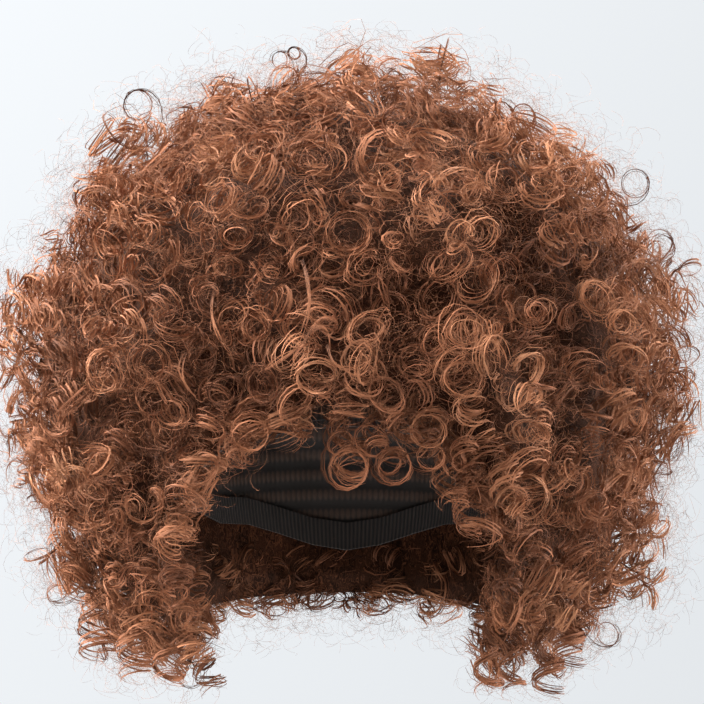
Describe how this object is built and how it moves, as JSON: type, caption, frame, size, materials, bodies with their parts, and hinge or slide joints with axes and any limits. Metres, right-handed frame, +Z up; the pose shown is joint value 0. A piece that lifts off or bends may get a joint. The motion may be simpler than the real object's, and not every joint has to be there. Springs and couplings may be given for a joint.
{
  "type": "curly wig",
  "caption": "Rounded afro wig of brown coiled locks on a thin hollow cap, open below for the head and in front for the face.",
  "frame": {"origin": "inside of the cap's crown, where the top of the wearer's head rests", "axes": "+Z up, -Y the way the face looks, +X to the viewer's right when seen from the front"},
  "size_m": [0.2923, 0.2901, 0.2599],
  "materials": {
    "cap_net": "matte net",
    "elastic": "matte knit",
    "hair": "satin fibre"
  },
  "bodies": {
    "root": {"cap": "cap_net", "edge_band": "elastic", "crown_hair": "hair", "fringe_hair": "hair", "right_hair": "hair", "left_hair": "hair", "back_hair": "hair", "nape_hair": "hair"}
  },
  "joints": []
}
